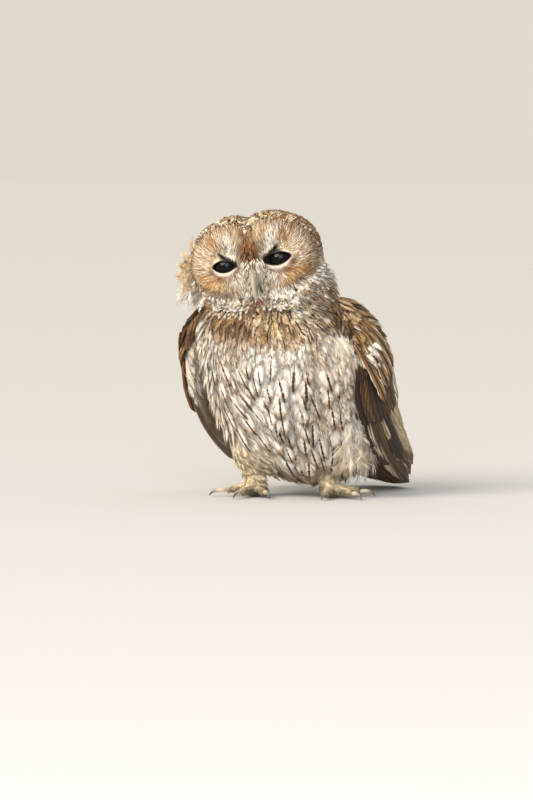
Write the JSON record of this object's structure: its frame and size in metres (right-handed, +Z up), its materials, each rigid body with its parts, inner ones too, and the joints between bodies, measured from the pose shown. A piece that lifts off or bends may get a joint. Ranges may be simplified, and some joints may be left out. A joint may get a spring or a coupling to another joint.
{
  "type": "owl",
  "caption": "Life-size tawny owl standing with half-lowered lids, loosely hung wings and its tail tip resting on the floor",
  "frame": {"origin": "on the ground, under the centre of the bounding box", "axes": "+Z up, the body faces -Y, the bird's left is +X"},
  "size_m": [0.2134, 0.2798, 0.2882],
  "materials": {
    "head": "matt feather",
    "neck": "matt feather",
    "breast": "matt feather",
    "wing": "matt feather",
    "tail": "matt feather",
    "leg": "matt feather",
    "toe": "matt feather and skin",
    "claw": "polished horn",
    "bill": "satin horn",
    "eye": "wet gloss"
  },
  "bodies": {
    "root": {"torso": "breast", "neck": "neck", "head": "head", "bill_upper": "bill", "bill_lower": "bill", "tail": "tail", "eye_left": "eye", "wing_left": "wing", "leg_left": "leg", "foot_left": "toe", "claw_left_inner": "claw", "claw_left_middle": "claw", "claw_left_outer": "claw", "claw_left_hind": "claw", "eye_right": "eye", "wing_right": "wing", "leg_right": "leg", "foot_right": "toe", "claw_right_inner": "claw", "claw_right_middle": "claw", "claw_right_outer": "claw", "claw_right_hind": "claw"}
  },
  "joints": []
}
